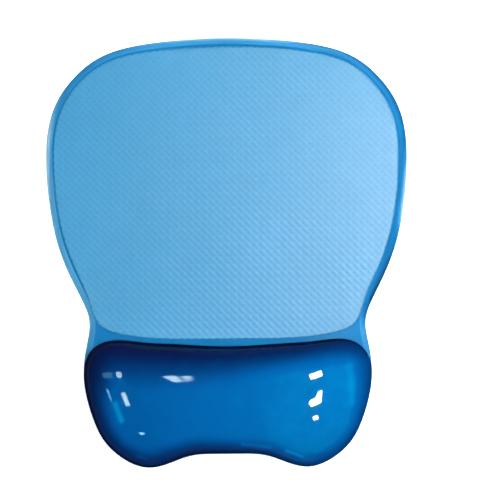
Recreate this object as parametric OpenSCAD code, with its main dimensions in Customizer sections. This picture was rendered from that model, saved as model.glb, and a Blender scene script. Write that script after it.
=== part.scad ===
// Gel mouse pad with a raised gel wrist pillow, in millimetres.
// +Z is up, +Y points away from the user and the wrist pillow is at the -Y end.
// The origin is under the middle of the outline, on the surface the pad lies on.

/* [Outline] */
// Width across the widest part of the pad
pad_w = 208; // [188:1:228]
// Depth from the far edge to the front of the wrist pillow
pad_d = 247; // [224:1:270]
// Height from the surface to the top of the wrist pillow
total_h = 24; // [20:0.5:28]
// Steps along each stretch of a curved outline
curve_steps = 5; // [4:1:6]

/* [Layers] */
// Thickness of the soft non-skid backing
base_t = 0.8; // [0.5:0.1:1.5]
// Thickness of the clear films that hold the pad's gel
film_t = 0.3; // [0.2:0.05:0.5]
// Thickness of the gel under the tracking sheet
gel_t = 2.2; // [1.5:0.1:4]
// Thickness of each adhesive layer
adhesive_t = 0.2; // [0.1:0.05:0.3]
// Thickness of the woven tracking sheet
sheet_t = 0.5; // [0.3:0.1:1]

/* [Pad edge] */
// Width of the flat flange where the upper film is welded to the lower one
flange_w = 0.8; // [0.4:0.1:1]
// Width of the roll between the flange and the flat top
rim_w = 2.9; // [2.2:0.1:3.2]
// How far the tracking sheet lies to the left of the centre line
sheet_shift = 0.3; // [0:0.1:1]
// How far the adhesive stops short of the tracking sheet's edge
sheet_glue_margin = 0.6; // [0.2:0.1:2]

/* [Wrist pillow] */
// Thickness of the pillow's formed skin
skin_t = 0.5; // [0.3:0.05:0.8]
// Thickness of the film that closes the pillow's underside
backing_t = 0.3; // [0.2:0.05:0.5]
// Height at which the pillow bulges out furthest, above its backing
bulge_h = 4.5; // [3:0.5:6]
// How far the pillow's foot is drawn in under the bulge, as a share of its half depth
foot_tuck = 0.08; // [0.05:0.01:0.12]
// Half the length of the crest line that the dome rises to
crest_half = 25; // [15:1:40]
// Where the crest runs, in front of the middle of the pad
crest_y = -84; // [-87:1:-80]
// How far the ends of the crest curve towards the user
crest_bow = 1.5; // [0:0.5:3]
// How boxy the dome is: 2 is an ellipse
dome_power = 2.6; // [2:0.1:3]

/* [Hidden] */

// Heights of the faces that the layers meet at
film_z = base_t;
gel_z = film_z + film_t;
gel_top = gel_z + gel_t;
pad_top = gel_top + film_t;
layer_z = pad_top + adhesive_t;
pillow_z = layer_z + backing_t;
dome_h = total_h - pillow_z - bulge_h;

// Slices up the rolled edge, up the bulge and up the dome
rim_slices = 5;
bulge_slices = 3;
dome_slices = 12;
// The turn up the dome at which the last slice closes it with a flat crest
crest_turn = 86;
// The adhesive under the pillow stops this share short of the backing
pillow_glue_tuck = 0.02;

// Control points of closed cubic splines. Each list is the right half of an outline,
// from its far edge to its near edge, and is mirrored for the left half.
// The side and front of the pillow, shared by the pad: flank, corner, lobe and dip
front_half = [[83, -78], [76, -101], [68, -114], [46, -128], [24, -116], [9, -116]];
// The pad: far edge, far corner, widest part, flank and waist
pad_half = concat([[15, 124], [68, 119], [89, 101], [101, 83], [105, 57], [101, 16],
                   [93, -9], [81, -31], [78, -42], [83, -60]], front_half);
// The pillow: slightly hollow back edge and back corner
pillow_half = concat([[9, -54], [36, -52], [47, -52], [70, -48], [83, -59]], front_half);
// The tracking sheet: a rim inside the pad, and a near edge that follows the pillow
sheet_half = [[15, 119], [65, 115], [86, 98], [97, 80], [100, 58], [97, 17],
              [88, -8], [79, -25], [76, -43], [59, -48], [35, -50], [12, -50]];

// The left half of an outline, from its near edge to its far edge
function left_of(half) = [for (i = [len(half) - 1:-1:0]) [-half[i].x, half[i].y]];

// A point of a uniform cubic spline
function spline_at(a, b, c, d, t) =
    (pow(1 - t, 3) * a + (3 * pow(t, 3) - 6 * t * t + 4) * b
     + (-3 * pow(t, 3) + 3 * t * t + 3 * t + 1) * c + pow(t, 3) * d) / 6;

// The closed curve round both halves, counter-clockwise from above
function curve(half) =
    let (ring = concat(half, left_of(half)), n = len(ring))
    [for (i = [n - 1:-1:0], j = [curve_steps - 1:-1:0])
        spline_at(ring[i], ring[(i + 1) % n], ring[(i + 2) % n], ring[(i + 3) % n],
                  j / curve_steps)];

// The curves are stretched from the control points to the stated width and depth
pad_curve = curve(pad_half);
curve_x = [for (p = pad_curve) p.x];
curve_y = [for (p = pad_curve) p.y];
mid_y = (max(curve_y) + min(curve_y)) / 2;
stretch_x = pad_w / (max(curve_x) - min(curve_x));
stretch_y = pad_d / (max(curve_y) - min(curve_y));
function placed(points) = [for (p = points) [p.x * stretch_x, (p.y - mid_y) * stretch_y]];

pad_outline = placed(pad_curve);
pillow_outline = placed(curve(pillow_half));
pillow_half_w = max([for (p = pillow_outline) p.x]);
sheet_outline = [for (p = placed(curve(sheet_half))) p - [sheet_shift, 0]];

// An outline drawn in by d at right angles to its edge
function unit(v) = v / norm(v);
function inset(points, d) =
    let (n = len(points))
    [for (i = [0:n - 1])
        let (along = unit(points[(i + 1) % n] - points[(i + n - 1) % n]))
        points[i] + d * [-along.y, along.x]];

// The crest point that a point of the pillow's outline is drawn towards
function crest_of(p) =
    let (along = p.x / pillow_half_w)
    [crest_half * along, crest_y - crest_bow * along * along];
// The pillow's outline at a share of the way out from the crest, drawn in by d as well
function pillow_ring(share, d = 0) =
    [for (p = inset(pillow_outline, d)) crest_of(p) + share * (p - crest_of(p))];

function raised(points, z) = [for (p = points) [p.x, p.y, z]];

// Rings of the roll up to the pad's flat top, d outside the gel's face
function roll_rings(d) =
    [for (i = [0:rim_slices])
        let (turn = 90 * i / rim_slices)
        raised(inset(pad_outline, flange_w + film_t - d + (rim_w - film_t + d) * (1 - cos(turn))),
               gel_z + d + gel_t * sin(turn))];
// Rings of the flange's edge
flange_rings = [raised(pad_outline, gel_z), raised(pad_outline, gel_z + film_t)];

// Rings of the pillow, from pillow_z up, d inside the outer face
function pillow_rings(d) = concat(
    [for (i = [0:bulge_slices - 1])
        let (turn = 90 * (1 - i / bulge_slices))
        raised(pillow_ring(1 - foot_tuck * (1 - cos(turn)), d),
               pillow_z + bulge_h * (1 - sin(turn)))],
    [for (i = [0:dome_slices])
        let (turn = crest_turn * i / dome_slices)
        raised(pillow_ring(pow(cos(turn), 2 / dome_power), d),
               pillow_z + bulge_h + (dome_h - d) * sin(turn) / sin(crest_turn))]);

// Faces between ring a and ring b, each of n points
function strip(a, b, n) =
    [for (i = [0:n - 1], half = [0, 1])
        let (j = (i + 1) % n)
        half == 0 ? [a * n + i, b * n + i, b * n + j] : [a * n + i, b * n + j, a * n + j]];
function facing_down(a, n) = [for (i = [0:n - 1]) a * n + i];
function facing_up(a, n) = [for (i = [n - 1:-1:0]) a * n + i];

function flat_list(lists) = [for (l = lists, item = l) item];

// A solid between the lowest and the highest of a list of rings
module solid_of(rings) {
    n = len(rings[0]);
    top = len(rings) - 1;
    polyhedron(flat_list(rings), concat(
        flat_list([for (k = [0:top - 1]) strip(k, k + 1, n)]),
        [facing_down(0, n), facing_up(top, n)]));
}

// A shell that is open below, between outer and inner rings listed from the bottom up
module shell_of(outer, inner) {
    n = len(outer[0]);
    top = len(outer) - 1;
    down = [for (i = [len(inner) - 1:-1:0]) inner[i]];
    rings = concat(outer, down);
    last = len(rings) - 1;
    polyhedron(flat_list(rings), concat(
        flat_list([for (k = [0:last]) if (k != top) strip(k, (k + 1) % (last + 1), n)]),
        [facing_up(top, n), facing_down(top + 1, n)]));
}

module layer(points, z, thickness) {
    translate([0, 0, z]) linear_extrude(thickness) polygon(points);
}

// Soft backing that grips the desk
module antislip_base() {
    color("midnightblue") layer(pad_outline, 0, base_t);
}

// Clear film under the pad's gel
module lower_film() {
    color("lightskyblue") layer(pad_outline, film_z, film_t);
}

// Tinted gel slab, which reaches into the rolled edge
module pad_gel() {
    color("dodgerblue") solid_of(roll_rings(0));
}

// Clear film over the gel, rolled down to a flange that is welded to the lower film
module upper_film() {
    color("deepskyblue") shell_of(concat(flange_rings, roll_rings(film_t)), roll_rings(0));
}

// Adhesive that holds the tracking sheet
module sheet_adhesive() {
    color("aliceblue") layer(inset(sheet_outline, sheet_glue_margin), pad_top, adhesive_t);
}

// Woven sheet that the mouse runs on
module tracking_sheet() {
    color("skyblue") layer(sheet_outline, layer_z, sheet_t);
}

// Adhesive that holds the wrist pillow on the pad
module pillow_adhesive() {
    color("azure") layer(pillow_ring(1 - foot_tuck - pillow_glue_tuck), pad_top, adhesive_t);
}

// Flat film that closes the underside of the wrist pillow
module pillow_backing() {
    color("steelblue") layer(pillow_ring(1 - foot_tuck), layer_z, backing_t);
}

// Gel inside the wrist pillow
module pillow_gel() {
    color("royalblue") solid_of(pillow_rings(skin_t));
}

// Formed skin of the wrist pillow, welded to the backing round its foot
module pillow_skin() {
    color("mediumblue") shell_of(pillow_rings(0), pillow_rings(skin_t));
}

antislip_base();
lower_film();
pad_gel();
upper_film();
sheet_adhesive();
tracking_sheet();
pillow_adhesive();
pillow_backing();
pillow_gel();
pillow_skin();
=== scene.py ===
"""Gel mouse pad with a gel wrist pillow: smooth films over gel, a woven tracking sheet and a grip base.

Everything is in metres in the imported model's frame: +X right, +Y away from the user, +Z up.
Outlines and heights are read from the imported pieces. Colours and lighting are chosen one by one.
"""

import math

import bmesh
import bpy
import numpy as np
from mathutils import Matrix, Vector, noise


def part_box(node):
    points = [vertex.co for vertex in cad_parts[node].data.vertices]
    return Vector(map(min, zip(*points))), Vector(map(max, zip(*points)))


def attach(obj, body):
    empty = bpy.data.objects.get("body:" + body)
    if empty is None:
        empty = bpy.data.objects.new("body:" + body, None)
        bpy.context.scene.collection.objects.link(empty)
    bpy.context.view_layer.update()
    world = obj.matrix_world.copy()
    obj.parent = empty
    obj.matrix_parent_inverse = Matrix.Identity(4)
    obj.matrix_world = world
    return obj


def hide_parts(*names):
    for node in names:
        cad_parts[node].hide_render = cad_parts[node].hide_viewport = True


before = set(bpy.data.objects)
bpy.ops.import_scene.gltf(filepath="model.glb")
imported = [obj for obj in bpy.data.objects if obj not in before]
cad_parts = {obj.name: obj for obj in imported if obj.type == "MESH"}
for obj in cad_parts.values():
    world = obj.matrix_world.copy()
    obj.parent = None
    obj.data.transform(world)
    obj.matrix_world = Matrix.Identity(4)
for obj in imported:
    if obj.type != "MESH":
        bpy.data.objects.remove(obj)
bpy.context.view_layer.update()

MM = 0.001

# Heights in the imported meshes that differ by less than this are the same
SAME = 1e-6
# Points round each outline, and slices up each rounded edge
PAD_POINTS = 600
PILLOW_POINTS = 480
RIM_SLICES = 14
BULGE_SLICES = 10
DOME_SLICES = 56


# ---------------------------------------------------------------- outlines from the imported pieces

def cad_loop(node, z):
    """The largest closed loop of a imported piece's edges at height z, as an n x 2 array, counter-clockwise."""
    z = round(z, 6)
    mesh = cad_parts[node].data
    keys = [tuple(round(c, 6) for c in v.co) for v in mesh.vertices]
    following = {}
    for face in mesh.polygons:
        # Level faces are cut into triangles inside the loop, so their edges are left out
        if abs(face.normal.z) > 0.99:
            continue
        corners = [keys[i] for i in face.vertices]
        for a, b in zip(corners, corners[1:] + corners[:1]):
            if abs(a[2] - z) < SAME and abs(b[2] - z) < SAME and a != b:
                following.setdefault(a, set()).add(b)
                following.setdefault(b, set()).add(a)
    loops = []
    while following:
        start = next(iter(following))
        loop, here = [], start
        while here in following:
            loop.append(here[:2])
            nexts = following.pop(here)
            here = next((p for p in nexts if p in following), None)
        loops.append(np.array(loop))
    largest = max(loops, key=lambda p: abs(area_of(p)))
    return largest if area_of(largest) > 0 else largest[::-1]


def area_of(loop):
    """Signed area inside a loop, positive when it runs counter-clockwise."""
    after = np.roll(loop, -1, axis=0)
    return float((loop[:, 0] * after[:, 1] - after[:, 0] * loop[:, 1]).sum() / 2)


def smooth_loop(loop, count):
    """The smooth closed cubic spline through a loop's points, as count points spaced evenly along it."""
    n, fine = len(loop), 24
    waves = np.arange(n)
    weight = (4 + 2 * np.cos(2 * math.pi * waves / n)) / 6
    control = np.fft.ifft(np.fft.fft(loop, axis=0) / weight[:, None], axis=0).real
    t = (np.arange(fine) / fine)[None, :, None]
    a, b, c, d = (np.roll(control, k, axis=0)[:, None, :] for k in (1, 0, -1, -2))
    curve = ((1 - t) ** 3 * a + (3 * t**3 - 6 * t**2 + 4) * b
             + (-3 * t**3 + 3 * t**2 + 3 * t + 1) * c + t**3 * d) / 6
    curve = curve.reshape(-1, 2)
    closed = np.vstack([curve, curve[:1]])
    along = np.concatenate([[0], np.cumsum(np.linalg.norm(np.diff(closed, axis=0), axis=1))])
    at = np.linspace(0, along[-1], count, endpoint=False)
    return np.stack([np.interp(at, along, closed[:, k]) for k in (0, 1)], axis=1)


def inset(loop, d):
    """A loop drawn in by d at right angles to its edge."""
    along = np.roll(loop, -1, axis=0) - np.roll(loop, 1, axis=0)
    along /= np.linalg.norm(along, axis=1)[:, None]
    return loop + d * np.stack([-along[:, 1], along[:, 0]], axis=1)


def pad_outline():
    """The pad's outline, which its base and both films share."""
    return smooth_loop(cad_loop("lower_film", box_z("lower_film")[1]), PAD_POINTS)


def raised(loop, z):
    """Loop points with a height, which may be one number or one for each point."""
    return np.column_stack([loop, np.broadcast_to(z, len(loop))])


def inside(points, loop):
    """Which points lie inside a closed loop."""
    result = np.zeros(len(points), bool)
    x, y = points[:, 0], points[:, 1]
    for (x0, y0), (x1, y1) in zip(loop, np.roll(loop, -1, axis=0)):
        crosses = (y0 > y) != (y1 > y)
        with np.errstate(divide="ignore", invalid="ignore"):
            result ^= crosses & (x < (x1 - x0) * (y - y0) / (y1 - y0) + x0)
    return result


def nearest_on(loop, points):
    """The place on a closed loop nearest each point."""
    after = np.roll(loop, -1, axis=0)
    step = after - loop
    best = np.full(len(points), np.inf)
    where = np.zeros_like(points)
    for start, way in zip(loop, step):
        t = np.clip(((points - start) @ way) / (way @ way), 0, 1)
        spot = start + t[:, None] * way
        gap = ((points - spot) ** 2).sum(axis=1)
        nearer = gap < best
        best[nearer], where[nearer] = gap[nearer], spot[nearer]
    return where


# ---------------------------------------------------------------- meshes

def new_object(name, verts, faces, smooth=True):
    """A mesh object in the scene, made of the given corners and faces."""
    mesh = bpy.data.meshes.new(name)
    mesh.from_pydata([tuple(v) for v in verts], [], faces)
    mesh.validate()
    if smooth:
        mesh.shade_smooth()
    obj = bpy.data.objects.new(name, mesh)
    bpy.context.scene.collection.objects.link(obj)
    return obj


def swept(name, rings):
    """A closed solid between rings of equal length, listed from the bottom up."""
    n = len(rings[0])
    verts = np.vstack(rings)
    faces = []
    for k in range(len(rings) - 1):
        for i in range(n):
            j = (i + 1) % n
            faces.append((k * n + i, k * n + j, (k + 1) * n + j, (k + 1) * n + i))
    faces.append(tuple(range(n - 1, -1, -1)))
    top = (len(rings) - 1) * n
    faces.append(tuple(range(top, top + n)))
    return new_object(name, verts, faces)


def store(obj, name, values):
    """Keeps one number for each corner of a mesh, for its material to read."""
    attribute = obj.data.attributes.new(name, "FLOAT", "POINT")
    attribute.data.foreach_set("value", np.asarray(values, dtype=np.float32))


def box_z(node):
    """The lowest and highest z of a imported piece."""
    low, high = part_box(node)
    return low[2], high[2]


# ---------------------------------------------------------------- the wrist pillow

# Half the crest line's length, as a share of the pillow's half width
CREST_HALF_SHARE = 0.3
# Where the crest runs, as a share of the pillow's depth from its front
CREST_PLACE = 0.565
# How far the crest's ends bend towards the user
CREST_BOW = 1.5 * MM
# How far the foot is drawn in under the bulge, and how boxy the dome is: 2 is an ellipse
FOOT_TUCK = 0.08
DOME_POWER = 2.6
# The dome's last ring lies at this share of the way out from the crest
CREST_SHARE = 0.012
# Height of the slow waves in the gel's face, and their size
WAVE_HEIGHT = 0.08 * MM
WAVE_LENGTH = 38 * MM


class Pillow:
    """The pillow's outer face: shares of the way from a short crest line out to its widest outline."""

    def __init__(self):
        """Reads the outline at the widest height, and lays the crest line."""
        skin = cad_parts["pillow_skin"].data
        widest = max(skin.vertices, key=lambda v: v.co.x).co.z
        low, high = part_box("pillow_skin")
        self.edge = smooth_loop(cad_loop("pillow_skin", widest), PILLOW_POINTS)
        self.foot_z, self.bulge_z, self.top_z = low[2], widest, high[2]
        half = (high[0] - low[0]) / 2
        along = self.edge[:, 0] / half
        crest_y = low[1] + CREST_PLACE * (high[1] - low[1])
        self.crest = np.column_stack([CREST_HALF_SHARE * half * along, crest_y - CREST_BOW * along**2])

    def ring(self, share, height):
        """The ring at a share of the way out from the crest, at one height."""
        return raised(self.crest + share * (self.edge - self.crest), height)

    def rings(self):
        """Rings from the foot up to the crest."""
        rings = []
        for i in range(BULGE_SLICES):
            turn = math.pi / 2 * (1 - i / BULGE_SLICES)
            height = self.foot_z + (self.bulge_z - self.foot_z) * (1 - math.sin(turn))
            rings.append(self.ring(1 - FOOT_TUCK * (1 - math.cos(turn)), height))
        dome = self.top_z - self.bulge_z
        last = math.acos(CREST_SHARE ** (DOME_POWER / 2))
        for i in range(DOME_SLICES + 1):
            turn = last * i / DOME_SLICES
            share = math.cos(turn) ** (2 / DOME_POWER)
            ring = self.ring(share, self.bulge_z + dome * math.sin(turn))
            ring[:, 2] -= wave_depths(ring) * math.sin(turn)
            rings.append(ring)
        return rings


def wave_depths(points):
    """How far slow waves in the gel sink its face below the smooth dome, at each point."""
    return np.array([WAVE_HEIGHT * (0.5 - 0.5 * noise.noise(Vector(p) / WAVE_LENGTH)) for p in points])


# ---------------------------------------------------------------- node helpers

class Nodes:
    """A material's node tree, with short ways to add and join nodes."""

    def __init__(self, name):
        self.material = bpy.data.materials.new(name)
        self.material.use_nodes = True
        self.tree = self.material.node_tree
        self.shader = self.tree.nodes["Principled BSDF"]
        self.output = self.tree.nodes["Material Output"]

    def add(self, kind, **settings):
        """A node; a setting that starts with in_ sets that input, and any other a property of the node."""
        node = self.tree.nodes.new(kind)
        for key, value in settings.items():
            if key.startswith("in_"):
                node.inputs[key[3:].replace("_", " ")].default_value = value
            else:
                setattr(node, key, value)
        return node

    def join(self, a, b):
        """Joins an output to an input."""
        self.tree.links.new(a, b)

    def feed(self, socket, value):
        """Joins an output to an input, or sets the input to a number or colour."""
        if hasattr(value, "is_linked"):
            self.join(value, socket)
        else:
            socket.default_value = value

    def math(self, operation, a, b=None, clamp=False):
        """A math node's result, from numbers or sockets."""
        node = self.add("ShaderNodeMath", operation=operation, use_clamp=clamp)
        for socket, value in zip(node.inputs, (a, b)):
            if value is not None:
                self.feed(socket, value)
        return node.outputs[0]

    def mix(self, factor, a, b):
        """A colour between a and b; each may be a colour or a socket."""
        node = self.add("ShaderNodeMix", data_type="RGBA")
        for socket, value in ((node.inputs["Factor"], factor), (node.inputs[6], a), (node.inputs[7], b)):
            self.feed(socket, value)
        return node.outputs[2]

    def ramp(self, factor, *stops):
        """A colour read off a ramp; each stop is a place from 0 to 1 and a colour."""
        node = self.add("ShaderNodeValToRGB")
        elements = node.color_ramp.elements
        while len(elements) < len(stops):
            elements.new(1)
        for element, (place, colour) in zip(elements, stops):
            element.position, element.color = place, colour
        self.join(factor, node.inputs["Fac"])
        return node.outputs["Color"]

    def attribute(self, name):
        """A number stored on the mesh."""
        return self.add("ShaderNodeAttribute", attribute_name=name).outputs["Fac"]

    def place(self):
        """The x, y and z of the point being shaded, in metres in the object's frame."""
        split = self.add("ShaderNodeSeparateXYZ")
        self.join(self.add("ShaderNodeTexCoord").outputs["Object"], split.inputs[0])
        return split.outputs["X"], split.outputs["Y"], split.outputs["Z"]

    def noise(self, size, detail=2.0):
        """Soft noise from 0 to 1, with blotches of about the given size."""
        node = self.add("ShaderNodeTexNoise", in_Scale=1 / size, in_Detail=detail)
        self.join(self.add("ShaderNodeTexCoord").outputs["Object"], node.inputs["Vector"])
        return node.outputs["Fac"]

    def bump(self, height, depth):
        """Raises the surface by height, from 0 to 1, times depth in metres."""
        node = self.add("ShaderNodeBump", in_Strength=1.0, in_Distance=depth)
        self.join(height, node.inputs["Height"])
        self.join(node.outputs["Normal"], self.shader.inputs["Normal"])

    def set(self, **values):
        """Sets numbers and colours on the shader's own inputs."""
        for key, value in values.items():
            self.shader.inputs[key.replace("_", " ")].default_value = value


def rgba(r, g, b):
    """A linear colour that nothing shows through."""
    return (r, g, b, 1.0)


# Clouds in the pillow's gel: their size, and how much they change its light
CLOUD, CLOUD_DEPTH = 9 * MM, 0.08
# Ripples in its skin: their size and height
RIPPLE, RIPPLE_HEIGHT = 14 * MM, 0.015 * MM


def pillow_material():
    """Deep blue gel under a glossy skin, its colour read from painted light and shade: painted shade over its
    walls, painted light to the right and in streaks.
    """
    m = Nodes("pillow_gel_look")
    cloud = m.math("MULTIPLY", m.math("SUBTRACT", m.noise(CLOUD), 0.5), CLOUD_DEPTH)
    light = m.math("ADD", m.attribute("painted_gel_light"), cloud, clamp=True)
    # The ramp turns the painted light and shade into colour: near black is painted shade, the brightest blue
    # painted light
    colour = m.ramp(
        light,
        (0.0, rgba(0.006, 0.003, 0.014)),
        (0.2, rgba(0.002, 0.006, 0.038)),
        (0.3, rgba(0.0006, 0.012, 0.066)),
        (0.47, rgba(0.0002, 0.027, 0.122)),
        (0.72, rgba(0.0001, 0.065, 0.25)),
        (0.86, rgba(0.0001, 0.093, 0.298)),
        (1.0, rgba(0.0004, 0.18, 0.43)),
    )
    m.join(colour, m.shader.inputs["Base Color"])
    m.bump(m.noise(RIPPLE, 1.0), RIPPLE_HEIGHT)
    m.set(Roughness=0.03, IOR=1.45)
    return m.material


def pad_material():
    """Blue gel under a glossy film, with painted glow and painted shade round its rim, read from a stored
    number.
    """
    m = Nodes("pad_film_look")
    # The ramp turns painted light and shade into colour: dark navy is painted shade, pale cyan a painted glow
    colour = m.ramp(
        m.attribute("painted_rim_light"),
        (0.0, rgba(0.003, 0.012, 0.05)),
        (0.5, rgba(0.008, 0.155, 0.37)),
        (0.6, rgba(0.033, 0.23, 0.47)),
        (0.75, rgba(0.13, 0.40, 0.61)),
        (1.0, rgba(0.5, 0.68, 0.76)),
    )
    m.join(colour, m.shader.inputs["Base Color"])
    m.set(Roughness=0.06, IOR=1.45)
    return m.material


def film_material():
    """The clear lower film, dark where the grip base shows through it."""
    m = Nodes("lower_film_look")
    colour = m.mix(m.noise(2 * MM), rgba(0.003, 0.02, 0.07), rgba(0.006, 0.035, 0.11))
    m.join(colour, m.shader.inputs["Base Color"])
    m.set(Roughness=0.2, IOR=1.45)
    return m.material


# Size and height of the base's grain
GRAIN, GRAIN_HEIGHT = 0.5 * MM, 0.15 * MM


def base_material():
    """Dark rubbery foam with a fine grain."""
    m = Nodes("antislip_look")
    grain = m.noise(GRAIN, 3.0)
    m.join(m.mix(grain, rgba(0.006, 0.014, 0.04), rgba(0.012, 0.028, 0.075)), m.shader.inputs["Base Color"])
    m.bump(grain, GRAIN_HEIGHT)
    m.set(Roughness=0.75)
    return m.material


def glue_material():
    """Clear adhesive over blue gel."""
    m = Nodes("adhesive_look")
    colour = m.mix(m.noise(2 * MM), rgba(0.006, 0.11, 0.28), rgba(0.01, 0.15, 0.36))
    m.join(colour, m.shader.inputs["Base Color"])
    m.set(Roughness=0.35)
    return m.material


# Width and height of the fine filaments that each thread is made of
FILAMENT, FILAMENT_HEIGHT = 0.32 * MM, 0.008 * MM
# Size of the threads' light and dark flecks, and size and strength of the broader blotches
FLECK, BLOTCH, BLOTCH_STRENGTH = 1.1 * MM, 7 * MM, 0.8
# How much of the gel shows in the holes of the weave, and how much darker they get near the sheet's edge,
# partly gel showing through and partly painted shade of the edge
HOLE_SHADE, HOLE_SHADE_AND_PAINTED_EDGE_SHADE = 0.22, 0.75


def sheet_material():
    """Slightly shiny threads at 45 degrees, with gel showing darker through the holes of the weave, darker
    still along the sheet's edge, partly as painted shade.
    """
    m = Nodes("woven_look")
    x, y, _ = m.place()
    along, across = m.math("SUBTRACT", x, y), m.math("ADD", x, y)
    turn = math.pi / (THREAD_PITCH * math.sqrt(2))
    waves = [m.math("ABSOLUTE", m.math("SINE", m.math("MULTIPLY", t, turn))) for t in (along, across)]
    # Near 1 only in the holes, where the gaps between both sets of threads cross
    hole = m.math("POWER", m.math("MULTIPLY", *waves), 3.0)
    # Holes darken more near the sheet's edge: partly gel showing through, partly painted shade of the edge
    shown = m.math("ADD", m.math("MULTIPLY", m.attribute("edge"), HOLE_SHADE_AND_PAINTED_EDGE_SHADE), HOLE_SHADE)
    blotch = m.math("MULTIPLY", m.math("SUBTRACT", m.noise(BLOTCH, 3.0), 0.5), BLOTCH_STRENGTH)
    threads = m.mix(
        m.math("ADD", m.noise(FLECK, 3.0), blotch, clamp=True),
        rgba(0.0095, 0.162, 0.325),
        rgba(0.0155, 0.189, 0.36),
    )
    colour = m.mix(m.math("MULTIPLY", hole, shown), threads, rgba(0.004, 0.09, 0.26))
    m.join(colour, m.shader.inputs["Base Color"])
    fine_turn = 2 * math.pi / (FILAMENT * math.sqrt(2))
    filaments = [m.math("SINE", m.math("MULTIPLY", t, fine_turn)) for t in (across, along)]
    warp = m.attribute("warp")
    weft = m.math("SUBTRACT", 1.0, warp)
    height = m.math("ADD", m.math("MULTIPLY", filaments[0], warp), m.math("MULTIPLY", filaments[1], weft))
    m.bump(m.math("MULTIPLY", m.math("ADD", height, 1.0), 0.5), FILAMENT_HEIGHT)
    m.set(Roughness=0.32, IOR=1.45)
    return m.material


# ---------------------------------------------------------------- pieces

def finish_piece(obj, material, *nodes):
    """Gives a piece its material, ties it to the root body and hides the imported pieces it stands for."""
    obj.data.materials.append(material)
    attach(obj, "root")
    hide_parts(*nodes)
    return obj


def make_pillow(pillow):
    """The pillow's skin, with painted light and shade for the gel under it stored on its corners."""
    rings = pillow.rings()
    skin = swept("pillow_skin_smooth", rings)
    store(skin, "painted_gel_light", painted_gel_light(pillow.edge, np.vstack(rings)[:, :2]))
    finish_piece(skin, pillow_material(), "pillow_skin", "pillow_gel")
    return skin


# Painted shade on the gel over its walls, going round from the right end towards the pad: the direction from
# the pillow's middle in degrees, how far in from the edge the painted shade reaches in mm, and how bright the
# edge is painted
PAINTED_WALL_SHADE = [
    (0, 11, 0.6),
    (36, 15, 0.52),
    (50, 17, 0.3),
    (62, 18, 0.21),
    (90, 26, 0.21),
    (120, 31, 0.17),
    (140, 33, 0.17),
    (180, 15, 0.21),
    (225, 12, 0.26),
    (245, 14, 0.27),
    (270, 11, 0.31),
    (300, 9, 0.48),
    (335, 8, 0.55),
]
# How bright the gel is painted over its middle, and how much painted light it gains or loses this far to the
# right or left
GEL_MIDDLE, GEL_RISE = 0.84, 0.07
GEL_RISE_LENGTH = 40 * MM
# The rise stops at these many such lengths to the left and to the right
GEL_RISE_LIMITS = (-1.2, 1)
# Painted streaks of light gathered in the gel: two ends and a half width in mm, and how much brighter they are
# painted
PAINTED_LIGHT_STREAKS = [
    ((-64.6, -86.5), (-61, -96), 1.9, 0.27),
    ((70.5, -64), (71.5, -86), 2.6, 0.07),
    ((8, -110), (24, -111.8), 1.0, 0.2),
    ((33, -114), (42.5, -117.5), 0.9, 0.2),
    ((-52, -116.5), (-47, -118.3), 0.8, 0.15),
]


def painted_gel_light(edge, points):
    """The painted light and shade of the gel at each point: painted shade over its walls, painted light to the
    right and in its streaks.
    """
    nearest = nearest_on(edge, points)
    half = (edge.max(axis=0) - edge.min(axis=0)) / 2
    middle = (edge.max(axis=0) + edge.min(axis=0)) / 2
    round_place = (nearest - middle) / half
    turn = np.degrees(np.arctan2(round_place[:, 1], round_place[:, 0]))
    angles, reaches, edges = zip(*PAINTED_WALL_SHADE)
    reach = np.interp(turn, angles, reaches, period=360) * MM
    dim = np.interp(turn, angles, edges, period=360)
    t = np.clip(np.linalg.norm(points - nearest, axis=1) / reach, 0, 1)
    bright = GEL_MIDDLE + GEL_RISE * np.clip(points[:, 0] / GEL_RISE_LENGTH, *GEL_RISE_LIMITS)
    light = dim + (bright - dim) * t * t * (3 - 2 * t)
    for start, end, width, gain in PAINTED_LIGHT_STREAKS:
        start, way = np.array(start) * MM, (np.array(end) - np.array(start)) * MM
        along = np.clip((points - start) @ way / (way @ way), 0, 1)
        off = np.linalg.norm(points - start - along[:, None] * way, axis=1)
        light += gain * np.exp(-((off / (width * MM)) ** 2))
    return light


# The welded flange round the pad's edge, how far its corners are taken off, and the rounded gel rim inside it
FLANGE = 0.8 * MM
FLANGE_THICK = 0.3 * MM
CORNER = 0.1 * MM
RIM = 2.9 * MM
# The rim meets the flat film in a crease, at this slope; edges that turn more than the second stay sharp
RIM_SLOPE = math.radians(16)
SHARP_TURN = math.radians(11.2)
# How bright the gel is under the flat film
FLAT_LIGHT = 0.5
# Painted glow and painted shade in the pad's rim, going round from the right: the direction from the pad's
# middle in degrees, how bright its outer edge is painted, how far in that reaches in mm, and how bright it is
# painted inside that
RIM_PAINTED_GLOW_AND_SHADE = [
    (3, 0.4, 1.5, 0.5),
    (14, 1.0, 1.6, 0.5),
    (24, 0.85, 1.4, 0.5),
    (34, 0.3, 1.4, 0.52),
    (52, 0.4, 1.3, 0.55),
    (66, 0.6, 1.0, 0.57),
    (80, 0.92, 1.0, 0.6),
    (100, 0.9, 1.0, 0.6),
    (118, 0.6, 1.0, 0.58),
    (134, 0.58, 1.0, 0.57),
    (146, 1.0, 2.4, 0.56),
    (156, 1.0, 1.9, 0.57),
    (166, 0.88, 1.2, 0.62),
    (184, 0.72, 1.4, 0.66),
    (206, 0.8, 1.4, 0.62),
    (230, 0.5, 1.0, 0.5),
    (310, 0.45, 1.0, 0.5),
    (331, 0.72, 1.0, 0.6),
    (337, 0.3, 1.2, 0.5),
    (342, 0.0, 1.8, 0.45),
    (356, 0.15, 2.2, 0.48),
]


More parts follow.
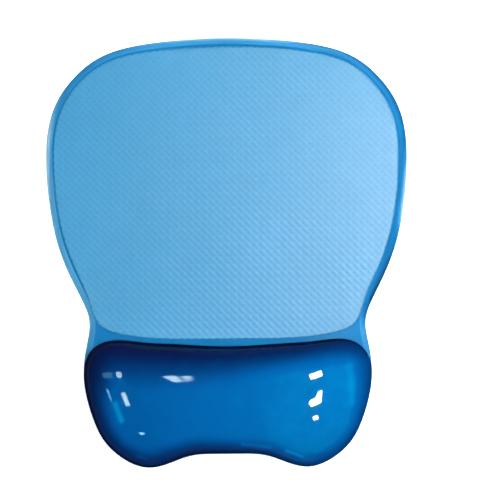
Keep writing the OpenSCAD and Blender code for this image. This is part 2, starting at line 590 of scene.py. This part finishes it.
def make_pad():
    """The pad's film over its gel, from the flange's edge over the rolled rim to the flat top."""
    low, high = box_z("upper_film")
    outline = pad_outline()
    flat = low + FLANGE_THICK
    profile = [(CORNER / 2, low), (0, low + FLANGE_THICK / 2), (CORNER, flat), (FLANGE, flat)]
    last = math.pi / 2 - RIM_SLOPE
    for i in range(1, RIM_SLICES + 1):
        turn = last * i / RIM_SLICES
        out = (1 - math.cos(turn)) / (1 - math.cos(last))
        profile.append((FLANGE + RIM * out, flat + (high - flat) * math.sin(turn) / math.sin(last)))
    pad = swept("pad_film_smooth", [raised(inset(outline, d), z) for d, z in profile])
    pad.data.set_sharp_from_angle(angle=SHARP_TURN)
    store(pad, "painted_rim_light", np.concatenate([painted_rim_light(outline, d) for d, _ in profile]))
    return finish_piece(pad, pad_material(), "upper_film", "pad_gel")


def painted_rim_light(outline, d):
    """The painted light and shade of the gel at d in from the pad's edge, all round it."""
    turn = np.degrees(np.arctan2(outline[:, 1], outline[:, 0]))
    angles, *levels = zip(*RIM_PAINTED_GLOW_AND_SHADE)
    edge, reach, within = (np.interp(turn, angles, level, period=360) for level in levels)
    light = within + (edge - within) * np.exp(-((d / (reach * MM)) ** 2))
    return light if d < FLANGE + RIM else np.full(len(outline), FLAT_LIGHT)


# The base's lower edge: how far in and how far up each corner of its rounding lies
BASE_ROUNDING = [(0.35 * MM, 0), (0.1 * MM, 0.1 * MM), (0, 0.3 * MM)]
# How far the lower film's edge lies inside the base's and the upper film's
FILM_INSET = 0.05 * MM


def make_base():
    """The grip base, rounded where it meets the desk."""
    low, high = box_z("antislip_base")
    outline = pad_outline()
    rings = [raised(inset(outline, d), low + up) for d, up in BASE_ROUNDING]
    rings.append(raised(outline, high))
    return finish_piece(swept("grip_base_smooth", rings), base_material(), "antislip_base")


def make_lower_film():
    """The film between the base and the gel, seen only as a line round the pad's edge."""
    rings = [raised(inset(pad_outline(), FILM_INSET), z) for z in box_z("lower_film")]
    return finish_piece(swept("lower_film_smooth", rings), film_material(), "lower_film")


def dress_glue():
    """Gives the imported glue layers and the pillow's backing their material."""
    glue = glue_material()
    for name in ("sheet_adhesive", "pillow_adhesive", "pillow_backing"):
        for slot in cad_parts[name].material_slots:
            slot.material = glue


# The weave: threads run both ways at 45 degrees, this far apart
THREAD_PITCH = 2.93 * MM
SAMPLES_PER_THREAD = 5
# How far each set of threads rises and dips, and how far a thread's sides drop below its crown
WARP_RISE, WARP_ROUND = 0.03 * MM, 0.2 * MM
WEFT_RISE, WEFT_ROUND = 0.03 * MM, 0.09 * MM
# How nearly the sides get as steep as a round thread's, from 0 to 1
SIDE_STEEPNESS = 0.9
# How far the warp stands above the weft
WARP_PROUD = 0.04 * MM
# How far in from the sheet's edge its holes show darker, partly as painted shade of the edge
EDGE_WIDTH = 1.6 * MM


def weave(points):
    """How far the woven face lies below its highest crowns at each point, and where the warp lies on top."""
    u = (points[:, 0] - points[:, 1]) / (math.sqrt(2) * THREAD_PITCH)
    v = (points[:, 0] + points[:, 1]) / (math.sqrt(2) * THREAD_PITCH)
    warp = WARP_PROUD + thread_height(u, v, WARP_RISE, WARP_ROUND)
    weft = thread_height(v, u + 1, WEFT_RISE, WEFT_ROUND)
    return WARP_PROUD + WARP_RISE - np.maximum(warp, weft), (warp > weft).astype(float)


def thread_height(along, across, rise, roundness):
    """The height of a set of threads, from its place along and across them in thread pitches."""
    thread = np.round(across)
    side = np.abs(across - thread) / 0.5
    return rise * np.cos(math.pi * (along + thread)) - roundness * (1 - np.sqrt(1 - SIDE_STEEPNESS * side**2))


def woven_top(outline, top):
    """The corners and faces of the sheet's woven face: a grid along the threads, trimmed to the outline."""
    step = THREAD_PITCH / SAMPLES_PER_THREAD
    reach = int(np.abs(outline).max() * math.sqrt(2) / step) + 2
    index = np.arange(-reach, reach + 1)
    a, b = np.meshgrid(index, index, indexing="ij")
    grid = np.stack([(a + b).ravel(), (b - a).ravel()], axis=1) * step / math.sqrt(2)
    centres = grid + [step / math.sqrt(2), 0]
    size = len(index)
    kept = inside(centres, outline).reshape(size, size)
    kept[-1, :] = kept[:, -1] = False
    i, j = np.nonzero(kept)
    corners = np.stack([i * size + j, (i + 1) * size + j, (i + 1) * size + j + 1, i * size + j + 1], axis=1)
    used, faces = np.unique(corners, return_inverse=True)
    faces = faces.reshape(corners.shape)
    points = grid[used]
    # A corner with fewer than four faces is on the grid's border, and moves out to the outline
    border = np.bincount(faces.ravel(), minlength=len(points)) < 4
    points[border] = nearest_on(outline, points[border])
    depth, _ = weave(points)
    return np.column_stack([points, top - depth]), faces.tolist()


def make_sheet():
    """The tracking sheet: a woven face over a flat underside."""
    low, high = box_z("tracking_sheet")
    outline = smooth_loop(cad_loop("tracking_sheet", low), PAD_POINTS)
    verts, faces = woven_top(outline, high)
    sheet = new_object("woven_sheet", verts, faces)
    close_below(sheet, low)
    points = np.array([v.co.xy for v in sheet.data.vertices])
    gap = np.linalg.norm(points - nearest_on(outline, points), axis=1)
    # Near the edge the holes get darker: partly gel showing through, partly painted shade of the sheet's edge
    store(sheet, "edge", np.clip(1 - gap / EDGE_WIDTH, 0, 1))
    store(sheet, "warp", weave(points)[1])
    finish_piece(sheet, sheet_material(), "tracking_sheet")
    return sheet


def close_below(obj, z):
    """Closes an open face into a solid with a straight wall down to z and a flat underside."""
    mesh = bmesh.new()
    mesh.from_mesh(obj.data)
    bmesh.ops.dissolve_degenerate(mesh, dist=SAME, edges=mesh.edges)
    rim = [e for e in mesh.edges if e.is_boundary]
    made = bmesh.ops.extrude_edge_only(mesh, edges=rim)["geom"]
    for item in made:
        if isinstance(item, bmesh.types.BMVert):
            item.co.z = z
    foot = [item for item in made if isinstance(item, bmesh.types.BMEdge) and item.is_boundary]
    bmesh.ops.holes_fill(mesh, edges=foot, sides=0)
    bmesh.ops.recalc_face_normals(mesh, faces=mesh.faces)
    mesh.to_mesh(obj.data)
    mesh.free()


# ---------------------------------------------------------------- stage

# The camera looks straight down from here, with a slight turn
CAMERA_PLACE = (0.0132, 0.0012, 3.2)
CAMERA_TURN = math.radians(-0.4)
CAMERA_LENS = 400


def make_camera():
    """A long lens far above the pad."""
    data = bpy.data.cameras.new("camera")
    data.lens = CAMERA_LENS
    camera = bpy.data.objects.new("camera", data)
    bpy.context.scene.collection.objects.link(camera)
    camera.location = CAMERA_PLACE
    camera.rotation_euler = (0, 0, CAMERA_TURN)
    bpy.context.scene.camera = camera


# How far away the window panes hang
PANE_DISTANCE = 0.8
DAYLIGHT, SKY, DEEP_SKY = (1, 1, 1), (0.72, 0.97, 1), (0.25, 0.75, 1)
# The panes: name, brightness, colour, and the outline of the pane's reflection on the pillow in mm
PANES = [
    ("right_far", 180, DAYLIGHT,
     [(46.5, -70.5), (53.5, -68), (54, -71), (47.5, -73)]),
    ("right_middle", 180, DAYLIGHT,
     [(53.5, -79.5), (53, -86.5), (47.5, -88.5), (46.5, -85.5), (50.5, -83.5), (51.5, -80.5)]),
    ("right_near", 120, DAYLIGHT,
     [(48.5, -94.5), (51, -93.5), (51.5, -95.5), (49, -96.5)]),
    ("left_far", 14, SKY,
     [(-64, -68), (-61, -68), (-60.5, -70.5), (-61, -71.5), (-63, -71.5), (-64, -70)]),
    ("left_middle", 17, SKY,
     [(-61.5, -80), (-59, -79.5), (-56, -87), (-58.5, -87.5)]),
    ("left_near", 26, DEEP_SKY,
     [(-51.5, -103), (-49, -102.5), (-47.5, -103.5), (-49.5, -104.5)]),
    ("left_end", 4, DEEP_SKY,
     [(-72, -68.5), (-66, -68.5), (-66, -71.5), (-71.5, -71.5)]),
    ("left_blind", 11, DEEP_SKY,
     [(-70, -77.5), (-68.5, -78), (-66.5, -83.5), (-66.5, -85.5), (-67.5, -84)]),
    ("back", 17, SKY,
     [(-37.5, -71), (-33.5, -70.5), (-25, -70.5), (-20.5, -71), (-22.5, -72.5), (-25, -73.5), (-28, -74.5),
      (-31, -74), (-34, -72.5)]),
]


def height_under(surface, x, y):
    """The height of a surface under x, y."""
    return surface.ray_cast((x, y, 1), (0, 0, -1))[1].z


def reflected_in(surface, x, y, eye):
    """Where a surface lies under x, y, and the direction that an eye above sees reflected there."""
    step = 1 * MM
    slope_x = (height_under(surface, x + step, y) - height_under(surface, x - step, y)) / (2 * step)
    slope_y = (height_under(surface, x, y + step) - height_under(surface, x, y - step)) / (2 * step)
    point = Vector((x, y, height_under(surface, x, y)))
    normal = Vector((-slope_x, -slope_y, 1)).normalized()
    view = (eye - point).normalized()
    return point, 2 * normal.dot(view) * normal - view


def glow(name, strength, colour):
    """A material that only shines, from its front."""
    m = Nodes(name)
    shine = m.add("ShaderNodeEmission", in_Color=rgba(*colour))
    facing = m.math("SUBTRACT", 1.0, m.add("ShaderNodeNewGeometry").outputs["Backfacing"])
    m.join(m.math("MULTIPLY", facing, strength), shine.inputs["Strength"])
    m.join(shine.outputs[0], m.output.inputs["Surface"])
    return m.material


def make_panes(surface, camera):
    """Bright panes hung where the pillow mirrors them to the camera with the outlines in PANES."""
    for name, strength, colour, outline in PANES:
        corners = []
        for x, y in outline:
            point, direction = reflected_in(surface, x * MM, y * MM, camera.location)
            corners.append(point + PANE_DISTANCE * direction)
        n = len(corners)
        corners.append(sum(corners, Vector()) / n)
        faces = [(n, i, (i + 1) % n) for i in range(n)]
        pane = new_object(name + "_pane", corners, faces, smooth=False)
        if pane.data.polygons[0].normal.z > 0:
            pane.data.flip_normals()
        pane.data.materials.append(glow(name + "_glow", strength, colour))
        pane.visible_camera = False
        pane.visible_shadow = False


# A low black card round the pillow, which keeps the pad out of its gloss: its distance and its two edges
CARD_GAP = 1.5 * MM
CARD_FOOT = 4.9 * MM
CARD_TOP = 13 * MM


def make_card(pillow):
    """Stands the card round the pillow, where only glossy rays meet it."""
    outline = inset(pillow.edge, -CARD_GAP)
    n = len(outline)
    corners = np.vstack([raised(outline, z) for z in (CARD_FOOT, CARD_TOP)])
    faces = [(i, (i + 1) % n, n + (i + 1) % n, n + i) for i in range(n)]
    card = new_object("card", corners, faces, smooth=False)
    m = Nodes("card_black")
    m.set(Base_Color=rgba(0, 0, 0), Roughness=1, Specular_IOR_Level=0)
    card.data.materials.append(m.material)
    card.visible_camera = card.visible_diffuse = card.visible_shadow = False


# Soft lamps: name, place, size, and how much light each gives a level surface at the origin
LAMPS = [
    ("key", (0.45, 0.45, 0.55), 0.35, 0.36),
    ("fill", (-0.1, 0.0, 2.4), 1.6, 0.45),
]
# A lamp that rakes across the woven sheet alone and shows up its threads, and its colour
RAKE = ("rake", (0.3, 0.25, 0.8), 0.12, 0.29)
RAKE_COLOUR = (0.84, 1, 0.84)


def make_lamp(name, place, size, light):
    """A square lamp that faces the origin and doesn't show in gloss."""
    data = bpy.data.lights.new(name, "AREA")
    data.size = size
    place = Vector(place)
    distance = place.length
    # The power that gives a level surface at the origin the light asked for
    data.energy = light * math.pi**2 * distance**2 / (place.z / distance)
    lamp = bpy.data.objects.new(name, data)
    lamp.location = place
    lamp.rotation_euler = place.to_track_quat("Z", "Y").to_euler()
    lamp.visible_glossy = False
    bpy.context.scene.collection.objects.link(lamp)
    return lamp


def make_rake(sheet):
    """Hangs the lamp for the woven sheet, flagged off from everything else; the threads shine in it."""
    lamp = make_lamp(*RAKE)
    lamp.data.color = RAKE_COLOUR
    lamp.visible_glossy = True
    lit = bpy.data.collections.new("lit_by_rake")
    lit.objects.link(sheet)
    lamp.light_linking.receiver_collection = lit


# Half the floor's width, which puts its far edge near the horizon, and how brightly it shines by itself
FLOOR_REACH = 30
FLOOR_GLOW = 0.8


def make_floor():
    """A white floor, which keeps out of the pillow's gloss."""
    corners = [(x * FLOOR_REACH, y * FLOOR_REACH, 0) for x, y in ((-1, -1), (1, -1), (1, 1), (-1, 1))]
    floor = new_object("floor", corners, [(0, 1, 2, 3)], smooth=False)
    m = Nodes("floor_look")
    m.set(Base_Color=rgba(0.85, 0.85, 0.85), Roughness=0.9)
    m.set(Emission_Color=rgba(1, 1, 1), Emission_Strength=FLOOR_GLOW)
    floor.data.materials.append(m.material)
    floor.visible_glossy = False


# The room's light at its horizon and away from it, and the heights between which it fades, as sines
HORIZON_LIGHT, ROOM_LIGHT = 0.2, 0.02
HORIZON_TOP, ROOM_BOTTOM = 0.04, 0.14


def make_world():
    """A dark room with a pale band at the horizon."""
    world = bpy.data.worlds.new("world")
    bpy.context.scene.world = world
    world.use_nodes = True
    tree = world.node_tree
    place = tree.nodes.new("ShaderNodeTexCoord")
    split = tree.nodes.new("ShaderNodeSeparateXYZ")
    away = tree.nodes.new("ShaderNodeMath")
    away.operation = "ABSOLUTE"
    height = tree.nodes.new("ShaderNodeMapRange")
    height.interpolation_type = "SMOOTHSTEP"
    for socket, value in zip(height.inputs[1:5], (HORIZON_TOP, ROOM_BOTTOM, HORIZON_LIGHT, ROOM_LIGHT)):
        socket.default_value = value
    tree.links.new(place.outputs["Generated"], split.inputs[0])
    tree.links.new(split.outputs["Z"], away.inputs[0])
    tree.links.new(away.outputs[0], height.inputs[0])
    tree.links.new(height.outputs[0], tree.nodes["Background"].inputs["Strength"])
    tree.nodes["Background"].inputs["Color"].default_value = (1, 1, 1, 1)


make_camera()
make_world()
make_floor()
for lamp in LAMPS:
    make_lamp(*lamp)
pillow = Pillow()
skin = make_pillow(pillow)
make_panes(skin, bpy.context.scene.camera)
make_card(pillow)
make_pad()
make_lower_film()
make_base()
sheet = make_sheet()
dress_glue()
make_rake(sheet)
bpy.context.scene.view_settings.view_transform = "Standard"
